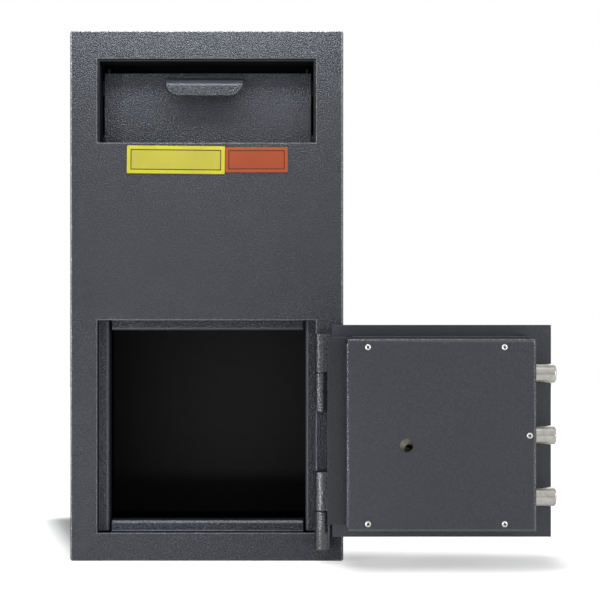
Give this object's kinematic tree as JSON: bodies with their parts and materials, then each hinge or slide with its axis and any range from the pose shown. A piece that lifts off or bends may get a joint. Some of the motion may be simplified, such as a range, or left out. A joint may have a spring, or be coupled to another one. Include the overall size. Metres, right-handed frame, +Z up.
{
  "type": "drop safe",
  "caption": "Front-loading steel drop safe: a tilting deposit drawer over a thick plate door with live bolts, dead bar, combination dial and lever handle, shown open",
  "frame": {"origin": "centre of the cabinet's flat base, on the floor", "axes": "+Z up along the height, +X to the right seen from the front, +Y into the safe"},
  "size_m": [0.6175, 0.4473, 0.688],
  "materials": {
    "cabinet_coat": "dark slate grey powder coat, fine orange peel",
    "inner_coat": "thin dark grey coat",
    "zinc_plate": "bright zinc plate",
    "plain_steel": "plain milled steel",
    "bright_steel": "bright turned and plated steel",
    "brass": "turned brass",
    "black_plastic": "satin black moulded plastic",
    "stop_rubber": "black rubber",
    "yellow_plate": "matt yellow plate, bare of words",
    "orange_plate": "matt orange-brown plate, bare of words"
  },
  "bodies": {
    "cabinet": {"cabinet_wrapper": "cabinet_coat", "front_panel": "cabinet_coat", "back_panel": "cabinet_coat", "jamb_strike_side": "cabinet_coat", "jamb_hinge_side": "cabinet_coat", "jamb_top": "cabinet_coat", "jamb_bottom": "cabinet_coat", "hopper_frame": "inner_coat", "chute_hood": "inner_coat", "chute_sill": "inner_coat", "anti_fish_baffle": "inner_coat", "drawer_stops": "stop_rubber", "label_yellow": "yellow_plate", "label_orange": "orange_plate", "fixed_knuckle_upper": "cabinet_coat", "fixed_knuckle_lower": "cabinet_coat"},
    "hinge_pins": {"hinge_pin_upper": "plain_steel", "hinge_pin_lower": "plain_steel", "hinge_washers": "plain_steel"},
    "door": {"door_plate": "cabinet_coat", "door_knuckle_upper": "cabinet_coat", "door_knuckle_lower": "cabinet_coat", "dead_bar": "cabinet_coat", "boltwork_frame": "cabinet_coat", "bolt_guide_bar": "plain_steel", "boltwork_cover": "cabinet_coat", "cover_posts": "zinc_plate", "cover_screws": "zinc_plate", "carrier_studs": "zinc_plate", "hardplate": "plain_steel", "lock_case": "zinc_plate", "lock_cover": "zinc_plate", "lock_screws": "bright_steel", "lock_bolt": "brass", "lock_wheels": "brass", "relocker": "zinc_plate", "dial_ring": "black_plastic", "handle_bushing": "bright_steel"},
    "bolts": {"bolt_carrier": "zinc_plate", "bolt_upper": "bright_steel", "bolt_middle": "bright_steel", "bolt_lower": "bright_steel", "bolt_screws": "plain_steel"},
    "handle": {"handle_lever": "bright_steel", "handle_spindle": "plain_steel", "handle_cam": "zinc_plate", "cam_pin": "plain_steel"},
    "dial": {"dial": "black_plastic", "dial_spindle": "brass", "drive_cam": "brass"},
    "drawer": {"drawer_front": "cabinet_coat", "drawer_pull": "cabinet_coat", "drawer_cheek_left": "inner_coat", "drawer_cheek_right": "inner_coat", "drawer_shield": "inner_coat", "drawer_pivot_pins": "plain_steel"}
  },
  "joints": [
    {"name": "hinge_pin_turn", "type": "hinge", "parent": "cabinet", "child": "hinge_pins", "pos_m": [0.15, -0.189, 0.1], "axis": [0, 0, 1], "range_deg": [-15, 0]},
    {"name": "door_swing", "type": "hinge", "parent": "hinge_pins", "child": "door", "pos_m": [0.15, -0.189, 0.2], "axis": [0, 0, 1], "range_deg": [-165, 0]},
    {"name": "bolt_throw", "type": "slide", "parent": "door", "child": "bolts", "axis": [1, 0, 0], "range_m": [-0.018, 0]},
    {"name": "handle_turn", "type": "hinge", "parent": "door", "child": "handle", "pos_m": [0.35, -0.2, 0.1725], "axis": [0, 1, 0], "range_deg": [0, 60]},
    {"name": "dial_turn", "type": "hinge", "parent": "door", "child": "dial", "pos_m": [0.268, -0.2, 0.1725], "axis": [0, 1, 0], "continuous": true},
    {"name": "drawer_tilt", "type": "hinge", "parent": "cabinet", "child": "drawer", "pos_m": [0, -0.143, 0.55], "axis": [1, 0, 0], "range_deg": [0, 55]}
  ],
  "couplings": [
    {"joint": "handle_turn", "follows": "bolt_throw", "rad_per_m": -58.168}
  ]
}
